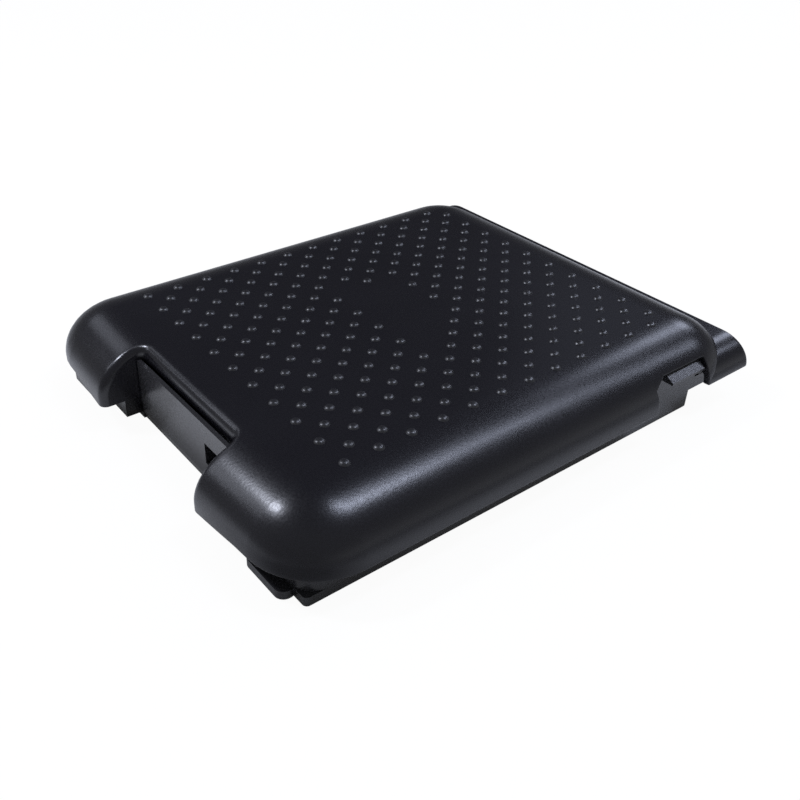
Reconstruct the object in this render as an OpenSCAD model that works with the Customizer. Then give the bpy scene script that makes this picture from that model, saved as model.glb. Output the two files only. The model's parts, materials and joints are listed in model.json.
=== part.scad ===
// Flat foot control for a sewing machine: a wide hinged treadle over a shallow base tray.
// Millimetres. +Z is up, +Y points to the heel (hinge) end, the toe notch is at -Y.
// The origin is the centre of the footprint, at the level of the surface it stands on.

/* [Treadle] */
// Width of the treadle across the foot
treadle_w = 155; // [145:1:170]
// Length of the treadle from toe to heel
treadle_l = 185; // [182:0.5:200]
// Height of the treadle's top above the surface it stands on, released
top_z = 27.5; // [27:0.5:30]
// Wall thickness of the treadle
treadle_wall = 2.2; // [1.8:0.1:2.4]
// How far the rounded shoulder reaches in from the outer wall, and the corner radius in plan
shoulder_run = 22; // [20:0.5:24]
// How far the rounded shoulder drops from the flat top to the upright wall
shoulder_drop = 16; // [14.5:0.5:16.5]
// Depth of the side and toe skirts below the top
skirt_depth = 17; // [16.5:0.25:17.5]
// Radius of the toe edge's gentle bow
toe_bow_r = 1000; // [800:50:2000]
// How far the toe lobes' lower edges dip beside the notch
lobe_dip = 1.7; // [0.5:0.1:1.8]

/* [Grip dots] */
// Distance between neighbouring dots along the diagonal rows
dot_pitch = 8; // [7.5:0.1:8.1]
// Radius of a dot where it meets the top
dot_r = 1.6; // [1.2:0.1:2]
// Radius of a dot's crown
dot_crown_r = 0.9; // [0.6:0.1:1.1]
// Height of a dot above the top
dot_h = 0.8; // [0.5:0.1:1.1]
// Least distance of a dot's centre from the heel wall
dot_heel_inset = 20; // [18:0.5:23]
// Least distance of a dot's centre from the treadle's sides
dot_side_inset = 20; // [20:0.5:24]
// Distance of the first dot column from the toe wall
dot_toe_inset = 31.5; // [30:0.5:32]

/* [Toe notch] */
// Width of the notch in the toe end
notch_w = 58; // [56:1:60]
// Depth of the notch from the toe wall
notch_d = 15.3; // [14.9:0.1:16]
// Depth of the treadle's lip at the back of the notch
lip_drop = 5.5; // [5:0.1:6]
// Radius of the rounded edge at the back of the notch
lip_r = 3.5; // [2.5:0.1:3.7]

/* [Heel] */
// Length of the hinge window in each side skirt
window_len = 25.5; // [24:0.5:28]
// Distance of the hinge window's heel edge from the heel wall
window_inset = 21.5; // [21:0.5:23]
// Depth of the hinge window's upper edge below the top
window_drop = 6.5; // [6:0.1:7]
// Depth of the squared heel apron's upper face below the top
apron_drop = 6.9; // [6.6:0.1:7.4]
// Depth of the heel apron's lower edge below the top
apron_depth = 15.8; // [15:0.1:16.5]
// How far each rounded end of the heel apron reaches in
apron_end_run = 11.5; // [8:0.5:14]
// Radius of the heel apron's upper back edge
apron_back_r = 1.2; // [0.8:0.1:2]

/* [Hinge] */
// Distance of the hinge axis from the heel wall
hinge_inset = 26.5; // [26:0.5:27.5]
// Height of the hinge axis
hinge_z = 14; // [13.6:0.1:14.5]
// Radius of a hinge pin
pin_r = 2; // [1.6:0.1:2.3]
// Radial clearance of a hinge pin in the treadle's ear
pin_clearance = 0.05; // [0.02:0.01:0.1]
// Radial interference of a hinge pin in the base's lugs
pin_press = 0.02; // [0.01:0.01:0.03]
// Radius of the hinge ear and lugs around the pin
hinge_boss_r = 4.5; // [4:0.1:4.6]
// Thickness of the treadle's hinge ear
ear_t = 4; // [3:0.25:5]
// Thickness of each base lug beside the ear
lug_t = 4; // [3:0.25:5]
// Side gap between the ear and each lug
ear_gap = 0.5; // [0.3:0.1:0.8]
// Distance of the hinge ears from the treadle's sides
ear_inset = 17; // [16.5:0.5:18.5]
// Travel of the treadle, degrees
travel = 2.3; // [1.8:0.1:2.3]

/* [Base tray] */
// Gap between the treadle's outer side and the base's outer side
base_side_inset = 6.3; // [6:0.1:6.8]
// Distance of the base's front wall behind the toe wall
base_toe_inset = 8.8; // [8.6:0.1:9.4]
// Distance of the base's end wall ahead of the heel wall
base_heel_inset = 20.5; // [19.5:0.5:21]
// Wall thickness of the base
base_wall = 1.9; // [1.6:0.1:2.2]
// Floor thickness of the base
floor_t = 2; // [1.8:0.1:2.2]
// Radius of the base's upright corners at the toe
base_toe_r = 6.8; // [6.6:0.1:7.4]
// Radius of the base's upright corners at the heel
base_heel_r = 2.5; // [2:0.25:5]
// Radius of the plinth's corners at the toe
plinth_r = 1.5; // [1.5:0.25:4]
// Height of the plinth along the foot of the base
plinth_h = 3; // [2.4:0.1:3.2]
// Height of the base's rim
rim_z = 9.5; // [8:0.25:9.5]
// Distance of the notch panel's outer face behind the toe wall
panel_inset = 13.2; // [12.8:0.1:13.4]
// Thickness of the notch panel
panel_t = 1.4; // [1.1:0.1:1.5]
// Height of the notch panel
panel_z = 22.6; // [22:0.1:22.8]
// Side gap between the notch panel and the treadle's notch walls
panel_gap = 0.6; // [0.5:0.1:1.2]
// Width of each front foot ledge
ledge_w = 18.5; // [16:0.5:24]
// Distance of each front foot ledge's outer end from the base's side
ledge_inset = 5.2; // [4:0.2:7]
// How far each front foot ledge stands out from the front wall
ledge_out = 4.1; // [3.4:0.1:4.8]
// Thickness of each front foot ledge
ledge_t = 2.7; // [2:0.1:3]
// Height of the cheek that stands in each hinge window
cheek_z = 19.6; // [19:0.1:19.8]
// Length of the ledge on the cheek
cheek_ledge_len = 16.4; // [14:0.2:18]
// How far the cheek's ledge stands out
cheek_ledge_w = 3.8; // [3.2:0.1:4.4]
// Thickness of the cheek's ledge at its outer edge
cheek_ledge_t = 0.8; // [0.6:0.1:1.2]
// Fall of the cheek's ledge from its inner to its outer edge
cheek_ledge_fall = 2; // [1.5:0.1:2.5]
// Height of the side tabs that run back under the heel apron
tab_z = 11.6; // [11:0.1:11.6]
// Length of the side tabs behind the base
tab_len = 12; // [9:0.5:14]

/* [Feet] */
// Radius of a rubber foot
foot_r = 8; // [6:0.5:9]
// How far a foot stands below the base
foot_out = 0.7; // [0.5:0.1:1]
// Depth of a foot's pocket in the base
foot_pocket = 1; // [0.6:0.1:1.2]
// Distance of the feet from the base's sides
foot_inset = 14.2; // [12.2:0.5:20.2]
// Distance of the front feet behind the base's front wall
foot_front = 14; // [12:1:18]
// Distance of the rear feet ahead of the base's end wall
foot_rear = 14; // [12:1:18]

/* [Springs and stops] */
// Distance of the return springs from the treadle's sides
spring_inset = 19.5; // [18.5:0.5:20.5]
// Distance of the return springs from the toe edge
spring_toe_inset = 32.5; // [30:0.5:35]
// Thickness of the pad that a return spring bears on under the treadle's top
seat_pad_t = 1.6; // [1.6:0.1:2.2]
// Mean radius of a return spring's coil
spring_r = 5; // [4.5:0.1:5.4]
// Wire radius of a return spring
spring_wire_r = 0.6; // [0.5:0.05:0.75]
// Turns of a return spring
spring_turns = 6; // [4:1:7]
// Radius of the post that centres a return spring
post_r = 3.4; // [3:0.1:3.6]
// Radius of a rubber stop
stop_r = 4.5; // [4:0.1:5]
// Height of a rubber stop
stop_h = 4.4; // [3.5:0.1:4.8]
// Distance of the rubber stops from the centre line
stop_x = 42; // [40:0.5:44]
// Distance of the rubber stops from the toe edge
stop_toe_inset = 21.5; // [21.5:0.5:23]
// Width of a retaining hook
hook_w = 14; // [10:1:16]
// Thickness of a retaining hook
hook_t = 1.8; // [1.5:0.1:2]
// Height of a retaining hook's barb
barb_h = 1.8; // [1.5:0.1:2]

/* [Speed sensor] */
// Distance of the sensor plunger from the toe edge
plunger_toe_inset = 47.5; // [45:0.5:50.5]
// Radius of the plunger's stem
stem_r = 3; // [2.6:0.1:3.2]
// Radial clearance of the stem in its guide
stem_clearance = 0.05; // [0.03:0.01:0.1]
// Radius of the plunger's collar
collar_r = 4.8; // [4.5:0.1:5]
// Thickness of the plunger's collar
collar_t = 1.4; // [1.2:0.1:1.8]
// Wire radius of the plunger's spring
plunger_wire_r = 0.3; // [0.25:0.05:0.4]
// Turns of the plunger's spring
plunger_turns = 5; // [4:1:6]

/* [Electronics] */
// Distance of the inner cover's sides from the treadle's sides
cover_inset = 27.5; // [26.5:0.5:28.5]
// Length of the inner cover
cover_l = 80; // [78:1:84]
// Height of the inner cover's top
cover_z = 17; // [16.8:0.1:17.6]
// Wall thickness of the inner cover
cover_wall = 1.6; // [1.2:0.1:1.8]
// Distance of the circuit board's sides from the inner cover's sides
board_inset = 6; // [5:0.5:7]
// Thickness of the circuit board
board_t = 1.6; // [1.2:0.2:1.6]
// Height of the board's standoffs above the floor
standoff_h = 2.5; // [2:0.1:2.6]
// Outer width of the cord socket
socket_w = 13.6; // [13.2:0.1:14]
// Outer height of the cord socket
socket_h = 7; // [6.8:0.1:7.1]
// Depth of the cord socket's body
socket_d = 7; // [6:0.25:7.25]
// Distance of the cord socket from the centre line
socket_x = 20.4; // [19.6:0.1:20.4]
// Distance of the cord socket's face behind the notch panel's face
socket_inset = 6.9; // [5:0.1:7]
// Height of the socket bay's floor above the base's floor
bay_h = 5.9; // [5.4:0.1:6]
// Wall thickness of the cord socket
socket_wall = 1.2; // [1:0.1:1.3]

/* [Hidden] */

$fn = 48;
eps = 0.01;
seat_gap = 0.1;
half_w = treadle_w / 2;
half_l = treadle_l / 2;
toe_y = -half_l;
heel_y = half_l;

// Heights
base_z = foot_out;
floor_z = base_z + floor_t;
skirt_z = top_z - skirt_depth;
ceiling_z = top_z - treadle_wall;
window_z = top_z - window_drop;
apron_top_z = top_z - apron_drop;
apron_z = top_z - apron_depth;

// Places along the length
hinge_y = heel_y - hinge_inset;
window_y1 = heel_y - window_inset;
window_y0 = window_y1 - window_len;
notch_y = toe_y + notch_d;
base_front_y = toe_y + base_toe_inset;
base_end_y = heel_y - base_heel_inset;
panel_y = toe_y + panel_inset;
panel_back_y = panel_y + panel_t;
spring_y = toe_y + spring_toe_inset;
stop_y = toe_y + stop_toe_inset;
stop_arm = hinge_y - stop_y;
plunger_y = toe_y + plunger_toe_inset;
plunger_arm = hinge_y - plunger_y;

// Centres of the toe edge's bow and of the four corners' curves
bow_y = toe_y + sqrt(toe_bow_r ^ 2 - (notch_w / 2) ^ 2);
bow_core_r = toe_bow_r - shoulder_run;
corner_x = half_w - shoulder_run;
toe_corner_y = bow_y - sqrt(bow_core_r ^ 2 - corner_x ^ 2);
heel_corner_y = heel_y - shoulder_run;
bow_a = asin(corner_x / bow_core_r);
bow_fn = 1440;

// Drop of the treadle at a distance from the hinge axis, fully pressed
function drop_at(arm) = arm * sin(travel);

// The base's plan
base_hx = half_w - base_side_inset;
notch_wall_gap = 0.8;
notch_wall_x = notch_w / 2 + treadle_wall;
step_x = notch_wall_x + notch_wall_gap;
panel_hx = notch_w / 2 - panel_gap;

// Places across the width
ear_x = half_w - ear_inset;
spring_x = half_w - spring_inset;
foot_x = base_hx - foot_inset;
cover_w = treadle_w - 2 * cover_inset;
board_w = cover_w - 2 * board_inset;
board_l = cover_l - 2 * board_inset;

// Quarter-ellipse shoulder, from the flat top down to the upright wall
shoulder_steps = 9;
function shoulder(run, drop, top) =
    [for (i = [0 : shoulder_steps]) let (a = 90 * i / shoulder_steps)
        [run * sin(a), top - drop * (1 - cos(a))]];

// ---------- shared shapes ----------

// Upright profile with its inner edge on the Z axis, from z0 up over the shoulder
module shoulder_profile(run, drop, z0, top) {
    polygon(concat([[0, z0], [run, z0]], [for (i = [shoulder_steps : -1 : 0])
        shoulder(run, drop, top)[i]]));
}

// The treadle's block, smaller by a gap on every outer face: straight sides and heel,
// a bowed toe and round corners, all under one rounded shoulder
module shouldered_block(gap) {
    run = shoulder_run - gap;
    drop = shoulder_drop - gap;
    z0 = skirt_z - lobe_dip - gap;
    top = top_z - gap;
    translate([0, 0, z0]) linear_extrude(top - z0) intersection() {
        translate([0, bow_y]) circle(bow_core_r, $fn = bow_fn);
        translate([-corner_x, toe_y]) square([2 * corner_x, heel_corner_y - toe_y]);
    }
    translate([0, bow_y, 0]) rotate(-90 - bow_a) rotate_extrude(angle = 2 * bow_a, $fn = bow_fn)
        translate([bow_core_r, 0]) shoulder_profile(run, drop, z0, top);
    translate([-corner_x, heel_corner_y, 0]) rotate([90, 0, 90])
        linear_extrude(2 * corner_x) shoulder_profile(run, drop, z0, top);
    both_sides() {
        translate([corner_x, heel_corner_y, 0]) rotate([90, 0, 0])
            linear_extrude(heel_corner_y - toe_corner_y) shoulder_profile(run, drop, z0, top);
        translate([corner_x, heel_corner_y, 0]) rotate_extrude(angle = 90)
            shoulder_profile(run, drop, z0, top);
        translate([corner_x, toe_corner_y, 0]) rotate(bow_a - 90)
            rotate_extrude(angle = 90 - bow_a) shoulder_profile(run, drop, z0, top);
    }
}

// A rectangle with round corners, from (x0, y0) to (x1, y1)
module round_rect(x0, y0, x1, y1, r) {
    translate([x0 + r, y0]) square([x1 - x0 - 2 * r, y1 - y0]);
    translate([x0, y0 + r]) square([x1 - x0, y1 - y0 - 2 * r]);
    for (x = [x0 + r, x1 - r], y = [y0 + r, y1 - r])
        translate([x, y]) circle(r);
}

// Places its children as a mirrored pair about the centre line
module both_sides() {
    children();
    mirror([1, 0, 0]) children();
}

// A helical wire as one closed tube. Its axis is Z, and its ends lie at z0 and z1.
function helix_point(r, turns, z0, z1, t) =
    [r * cos(360 * turns * t), r * sin(360 * turns * t), z0 + (z1 - z0) * t];
function helix_frame(r, turns, z0, z1, t) =
    let (a = 360 * turns * t,
         rise = (z1 - z0) / (2 * PI * r * turns),
         tangent = [-sin(a), cos(a), rise] / norm([1, rise]),
         out = [cos(a), sin(a), 0])
    [out, cross(tangent, out)];
coil_rings = 8;
// Least gap between a coil's turns, measured between points along its wire
function coil_gap(r, wire_r, turns, z0, z1) =
    let (n = coil_rings * turns,
         c = [for (i = [0 : n]) helix_point(r, turns, z0, z1, i / n)])
    min([for (i = [0 : n]) for (j = [i + floor(coil_rings / 2) : n])
        if (j <= n) norm(c[j] - c[i])]) - 2 * wire_r;
module coil(r, wire_r, turns, z0, z1) {
    sides = 6;
    rings = coil_rings * turns;
    points = [for (i = [0 : rings], k = [0 : sides - 1])
        let (t = i / rings,
             f = helix_frame(r, turns, z0, z1, t),
             a = 360 * k / sides)
        helix_point(r, turns, z0, z1, t) + wire_r * (cos(a) * f[0] + sin(a) * f[1])];
    walls = [for (i = [0 : rings - 1], k = [0 : sides - 1])
        let (a = i * sides + k, b = i * sides + (k + 1) % sides)
        each [[a, b, b + sides], [a, b + sides, a + sides]]];
    caps = [for (k = [1 : sides - 2]) each [[0, k + 1, k],
        [rings * sides, rings * sides + k, rings * sides + k + 1]]];
    polyhedron(points, concat(walls, caps));
}

// A round-headed screw that points down from z, with its head above
screw_head_r = 2.6;
screw_head_h = 1.7;
screw_r = 1.2;
module screw(z, length) {
    translate([0, 0, z]) cylinder(screw_head_h, screw_head_r, screw_head_r - 0.6, $fn = 24);
    translate([0, 0, z - length]) cylinder(length + eps, screw_r, screw_r, $fn = 24);
}

// ---------- treadle ----------

// Everything above the skirt's edge, smaller by a gap on every outer face
module treadle_envelope(gap) {
    shouldered_block(gap);
    heel_apron(gap);
}

// Squared block at the heel, with rounded ends and a rounded upper back edge
module heel_apron(gap) {
    hx = half_w - gap;
    y1 = heel_y - gap;
    z1 = apron_top_z - gap;
    z0 = skirt_z - gap;
    run = apron_end_run - gap;
    drop = apron_top_z - apron_z - gap;
    back_r = apron_back_r;
    end = shoulder(run, drop, z1);
    intersection() {
        translate([0, heel_y, 0]) rotate([90, 0, 0]) linear_extrude(window_inset + gap)
            polygon(concat([[-hx, z0], [hx, z0]],
                [for (i = [shoulder_steps : -1 : 0]) [hx - run + end[i][0], end[i][1]]],
                [for (i = [0 : shoulder_steps]) [run - hx - end[i][0], end[i][1]]]));
        translate([-hx, 0, 0]) rotate([90, 0, 90]) linear_extrude(2 * hx) {
            translate([0, z0]) square([y1, z1 - back_r - z0]);
            translate([0, z0]) square([y1 - back_r, z1 - z0]);
            translate([y1 - back_r, z1 - back_r]) circle(back_r);
        }
    }
}

// The notch in the toe end, grown sideways and to the heel by a wall
module notch_space(grow) {
    hx = notch_w / 2 + grow;
    translate([-hx, toe_y - 1, -1]) cube([2 * hx, notch_d + 1 + grow, top_z + 2]);
}

// Both hinge windows, open at the skirt's edge, with a sloping upper toe corner
window_slope_run = 5;
window_slope_drop = 2.6;
module window_space() {
    depth = shoulder_run - treadle_wall;
    both_sides() translate([half_w - depth, 0, 0]) rotate([90, 0, 90])
        linear_extrude(depth + 1)
            polygon([[window_y0, 0], [window_y0, window_z - window_slope_drop],
                [window_y0 + window_slope_run, window_z], [window_y1, window_z],
                [window_y1, 0]]);
}

// Space below the treadle's edge: level, but lower on the toe lobes beside the notch
lobe_dip_run = 22;
module below_skirt() {
    z1 = skirt_z - lobe_dip;
    translate([-half_w - 1, notch_y + treadle_wall, 0])
        cube([treadle_w + 2, treadle_l, skirt_z]);
    both_sides() translate([0, notch_y + treadle_wall + eps, 0]) rotate([90, 0, 0])
        linear_extrude(notch_d + treadle_wall + 1)
            polygon([[notch_w / 2 - 1, 0], [half_w + 1, 0], [half_w + 1, skirt_z],
                [notch_w / 2 + lobe_dip_run, skirt_z], [notch_w / 2 + 2, z1],
                [notch_w / 2 - 1, z1]]);
}

// Raised dots on a staggered square lattice. A field in the middle is left bare:
// [column, first bare lane, last bare lane], with lane 0 in the middle
bare_field = [[10, -4, 4], [11, -3, 3], [12, -2, 2], [13, -3, 1]];
half_pitch = dot_pitch / sqrt(2);
dot_y0 = toe_y + dot_toe_inset;
dot_columns = floor((treadle_l - dot_toe_inset - dot_heel_inset) / half_pitch);
dot_lanes = floor((half_w - dot_side_inset) / half_pitch);
function bare(c, lane) =
    len([for (b = bare_field) if (c == b[0] && lane >= b[1] && lane <= b[2]) 1]) > 0;
module grip_dots() {
    sink = 0.3;
    for (c = [0 : dot_columns], lane = [-dot_lanes : dot_lanes])
        if ((c + abs(lane)) % 2 == 0 && !bare(c, lane))
            translate([lane * half_pitch, dot_y0 + c * half_pitch, top_z - sink])
                cylinder(dot_h + sink, dot_r + sink * (dot_r - dot_crown_r) / dot_h,
                    dot_crown_r, $fn = 24);
}

// Cross and long ribs under the top
rib_t = 1.6;
rib_h = 2.2;
module treadle_ribs() {
    reach = half_w - shoulder_run;
    for (y = [plunger_y + 25, hinge_y - 46, hinge_y - 10])
        translate([-reach, y, ceiling_z - rib_h]) cube([2 * reach, rib_t, rib_h + 0.2]);
    both_sides() translate([34, notch_y + 8, ceiling_z - rib_h])
        cube([rib_t, hinge_y - notch_y, rib_h + 0.2]);
}

// Ear that hangs from the top and turns on the hinge pin
module hinge_ear() {
    both_sides() translate([ear_x - ear_t / 2, hinge_y, hinge_z]) {
        rotate([0, 90, 0]) cylinder(ear_t, hinge_boss_r, hinge_boss_r);
        translate([0, -hinge_boss_r, 0])
            cube([ear_t, 2 * hinge_boss_r, ceiling_z - hinge_z + 0.2]);
    }
}

// Rings that locate the springs, pads that meet the stops and the plunger, and the hooks
ring_r = 7.6;
ring_bore_r = 6.4;
ring_h = 4;
stop_post_r = 4;
stop_lift = 0.3;
pad_r = 6;
pad_h = 2.5;
module treadle_bosses() {
    both_sides() translate([spring_x, spring_y, ceiling_z - ring_h]) difference() {
        cylinder(ring_h + 0.2, ring_r, ring_r);
        translate([0, 0, -1]) cylinder(ring_h + 1 - seat_pad_t, ring_bore_r, ring_bore_r);
    }
    stop_post_z = floor_z + stop_h + stop_lift + drop_at(stop_arm + stop_post_r);
    both_sides() translate([stop_x, stop_y, stop_post_z])
        cylinder(ceiling_z - stop_post_z + 0.2, stop_post_r, stop_post_r);
    translate([0, plunger_y, ceiling_z - pad_h]) cylinder(pad_h + 0.2, pad_r, pad_r);
}

// What the rounded edge at the back of the notch takes off
module lip_edge() {
    y1 = notch_y + lip_r;
    z1 = top_z - shoulder_drop * (1 - cos(asin((bow_y - y1 - bow_core_r) / shoulder_run)));
    translate([-notch_w / 2 - eps, y1, z1 - lip_r]) difference() {
        translate([0, -lip_r - 1, 0]) cube([notch_w + 2 * eps, lip_r + 1, lip_r + 1]);
        translate([-1, 0, 0]) rotate([0, 90, 0]) cylinder(notch_w + 2, lip_r, lip_r, $fn = 96);
    }
}

// Webs that close the shoulder's ends toward the heel apron
web_t = 1.6;
web_y = window_y1 + 2.5;
module heel_webs() {
    both_sides() translate([half_w - 15.5, web_y, apron_z + 0.5])
        cube([9.5, web_t, apron_top_z - 1.6 - apron_z - 0.5]);
}

// Retaining hooks, which catch under the base's bridges and hold the treadle down
hook_x = 43;
bridge_t = 2;
bridge_z = 11.4;
bridge_out = 2.4;
hook_gap = 0.3;
hook_y = base_front_y + base_wall + bridge_out + hook_gap + hook_t;
module treadle_hooks() {
    barb_z = bridge_z - hook_gap - barb_h;
    both_sides() translate([hook_x - hook_w / 2, 0, 0]) {
        translate([0, hook_y - hook_t, barb_z]) cube([hook_w, hook_t, ceiling_z - barb_z - 0.4]);
        translate([0, hook_y - hook_t - bridge_out + 0.3, barb_z])
            cube([hook_w, bridge_out, barb_h]);
    }
}

module treadle() color([0.05, 0.055, 0.065]) difference() {
    union() {
        difference() {
            treadle_envelope(0);
            difference() {
                treadle_envelope(treadle_wall);
                notch_space(treadle_wall);
            }
            notch_space(0);
            below_skirt();
        }
        grip_dots();
        treadle_ribs();
        hinge_ear();
        treadle_bosses();
        treadle_hooks();
        heel_webs();
    }
    window_space();
    // Heel apron's lower edge
    translate([-half_w - 1, window_y1 - eps, 0])
        cube([treadle_w + 2, window_inset + 2, apron_z]);
    // Lower edge of the lip at the back of the notch
    translate([-notch_w / 2 - eps, notch_y - eps, 0])
        cube([notch_w + 2 * eps, treadle_wall + 2 * eps, top_z - lip_drop]);
    lip_edge();
    // Pin bores of the ears
    both_sides() translate([ear_x - ear_t / 2 - 1, hinge_y, hinge_z]) rotate([0, 90, 0])
        cylinder(ear_t + 2, pin_r + pin_clearance, pin_r + pin_clearance);
}

// ---------- base ----------

// Plan of the base, drawn in by inset, with its step back at the toe notch
module base_plan(inset, toe_r) {
    hx = base_hx - inset;
    y0 = base_front_y + inset;
    y1 = base_end_y - inset;
    r0 = toe_r - inset;
    r1 = base_heel_r - inset;
    difference() {
        union() {
            translate([-hx, y0 + r0]) square([2 * hx, y1 - r1 - y0 - r0]);
            translate([r0 - hx, y0]) square([2 * (hx - r0), r0 + eps]);
            translate([r1 - hx, y1 - r1 - eps]) square([2 * (hx - r1), r1 + eps]);
            for (s = [-1, 1]) {
                translate([s * (hx - r0), y0 + r0]) circle(r0);
                translate([s * (hx - r1), y1 - r1]) circle(r1);
            }
        }
        translate([-step_x - inset, base_front_y - 1])
            square([2 * (step_x + inset), panel_y - base_front_y + 1 + inset]);
    }
}

// Tall panel that fills the toe notch behind the treadle's lobes, with a relieved foot
// and the mouth of the socket's bay
bay_z = floor_z + bay_h;
bay_head = 0.2;
kick = 0.7;
module notch_panel() {
    difference() {
        translate([-panel_hx, 0, 0]) rotate([90, 0, 90]) linear_extrude(2 * panel_hx)
            polygon([[panel_y + kick, base_z], [panel_y, base_z + plinth_h],
                [panel_y, panel_z], [panel_back_y, panel_z], [panel_back_y, base_z]]);
        translate([socket_x - socket_w / 2, panel_y - 1, bay_z])
            cube([socket_w, panel_t + 2, socket_h + bay_head]);
    }
}

// Rounded ledges along the foot of the front wall
module front_ledges() {
    x1 = base_hx - ledge_inset;
    r = ledge_out - 1.2;
    both_sides() translate([0, 0, base_z]) linear_extrude(ledge_t)
        round_rect(x1 - ledge_w, base_front_y - ledge_out, x1,
            base_front_y + base_wall, r);
}

// Bridges that the treadle's hooks catch under
module hook_bridges() {
    wall_w = hook_w + 4;
    both_sides() translate([hook_x - wall_w / 2, base_front_y, 0]) {
        translate([0, 0, rim_z - 1]) cube([wall_w, base_wall, bridge_z + bridge_t - rim_z + 1]);
        translate([0, 0, bridge_z]) cube([wall_w, base_wall + bridge_out, bridge_t]);
    }
}

// Pairs of lugs that hold the hinge pins, one on each side of the ear
lug_inner_x = ear_x - ear_t / 2 - ear_gap - lug_t;
lug_outer_x = ear_x + ear_t / 2 + ear_gap;
module hinge_lugs() {
    both_sides() for (x = [lug_inner_x, lug_outer_x]) translate([x, hinge_y, 0]) {
        translate([0, -hinge_boss_r, floor_z - 0.5])
            cube([lug_t, 2 * hinge_boss_r, hinge_z - floor_z + 0.5]);
        translate([0, 0, hinge_z]) rotate([0, 90, 0])
            cylinder(lug_t, hinge_boss_r, hinge_boss_r);
    }
}

// Cheeks that stand in the hinge windows, each with a sloping ledge, and side tabs that
// run back under the heel apron
cheek_gap = 1.5;
cheek_return = 5;
return_z = 19.2;
tab_h = 4.6;
module hinge_cheeks() {
    x0 = base_hx - base_wall;
    y0 = window_y0 + cheek_gap;
    y1 = window_y1 - cheek_gap / 2;
    ledge_z = cheek_z - cheek_ledge_fall - cheek_ledge_t;
    both_sides() {
        translate([x0, 0, 0]) rotate([90, 0, 90]) linear_extrude(base_wall)
            polygon([[y0, rim_z - 1], [y0, cheek_z - 2.1], [y0 + 3.8, cheek_z],
                [y1, cheek_z], [y1, rim_z - 1]]);
        translate([0, y1, 0]) rotate([90, 0, 0]) linear_extrude(cheek_ledge_len)
            polygon([[x0, ledge_z], [base_hx + cheek_ledge_w, ledge_z],
                [base_hx + cheek_ledge_w, ledge_z + cheek_ledge_t],
                [base_hx + 0.5, cheek_z], [x0, cheek_z]]);
        translate([x0 - cheek_return, base_end_y - base_wall, rim_z - 1])
            cube([base_wall + cheek_return, base_wall, return_z - rim_z + 1]);
        translate([x0, y1 - 3, tab_z - tab_h])
            cube([base_wall, base_end_y + tab_len - y1 + 3, tab_h]);
    }
}

// Posts under the board, bosses under the cover's ears, spring posts and stop rings
standoff_r = 3;
board_y0 = plunger_y - 14;
board_z = floor_z + standoff_h;
board_hole_x = board_w / 2 - 5;
board_hole_y = [board_y0 + 5, board_y0 + board_l - 5];
cover_y0 = board_y0 - 5;
cover_ear_x = cover_w / 2 + 4;
cover_ear_y = [cover_y0 + 34, cover_y0 + cover_l - 10];
cover_boss_h = 3.6;
spring_post_h = 6;
stop_ring_h = 1.6;
plunger_post_h = 1;
module base_posts() {
    both_sides() {
        for (y = board_hole_y) translate([board_hole_x, y, floor_z - 0.5])
            cylinder(standoff_h + 0.5, standoff_r, standoff_r);
        for (y = cover_ear_y) translate([cover_ear_x, y, floor_z - 0.5])
            cylinder(cover_boss_h + 0.5, standoff_r, standoff_r);
        translate([spring_x, spring_y, floor_z - 0.5])
            cylinder(spring_post_h + 0.5, post_r, post_r);
        translate([stop_x, stop_y, floor_z - 0.5]) difference() {
            cylinder(stop_ring_h + 0.5, stop_r + 1.4, stop_r + 1.4);
            translate([0, 0, 0.5]) cylinder(stop_ring_h + 1, stop_r + 0.1, stop_r + 0.1);
        }
    }
}

// Pilot holes for the board's and the cover's screws
pilot_depth = 4.6;
screw_bite = 0.05;
module pilot_holes() {
    pilot_r = screw_r - screw_bite;
    both_sides() {
        for (y = board_hole_y) translate([board_hole_x, y, board_z - pilot_depth + 1])
            cylinder(pilot_depth, pilot_r, pilot_r, $fn = 24);
        for (y = cover_ear_y)
            translate([cover_ear_x, y, floor_z + cover_boss_h - pilot_depth])
                cylinder(pilot_depth + 1, pilot_r, pilot_r, $fn = 24);
    }
}

// Round pockets in the underside that hold the rubber feet
foot_places = [[-foot_x, base_front_y + foot_front], [foot_x, base_front_y + foot_front],
               [-foot_x, base_end_y - foot_rear], [foot_x, base_end_y - foot_rear]];

module base_tray() color([0.2, 0.205, 0.215]) difference() {
    union() {
        difference() {
            union() {
                translate([0, 0, base_z]) linear_extrude(rim_z - base_z)
                    base_plan(0, base_toe_r);
                translate([0, 0, base_z]) linear_extrude(plinth_h) base_plan(0, plinth_r);
            }
            translate([0, 0, floor_z]) linear_extrude(rim_z) base_plan(base_wall, base_toe_r);
            // Room for the treadle's notch walls and for the notch panel
            translate([-step_x, base_front_y - 1, floor_z])
                cube([2 * step_x, panel_back_y + 1 - base_front_y + 1, rim_z]);
            translate([-panel_hx - eps, base_front_y - 1, base_z - 1])
                cube([2 * (panel_hx + eps), panel_back_y - eps - base_front_y + 1, rim_z]);
        }
        notch_panel();
        front_ledges();
        hook_bridges();
        hinge_lugs();
        hinge_cheeks();
        base_posts();
        socket_bay();
    }
    pilot_holes();
    both_sides() translate([lug_inner_x - 1, hinge_y, hinge_z]) rotate([0, 90, 0])
        cylinder(2 * (lug_t + ear_gap) + ear_t + 2, pin_r - pin_press, pin_r - pin_press);
    for (p = foot_places) translate([p[0], p[1], base_z - 1])
        cylinder(foot_pocket + 1, foot_r + 0.1, foot_r + 0.1);
}

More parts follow.
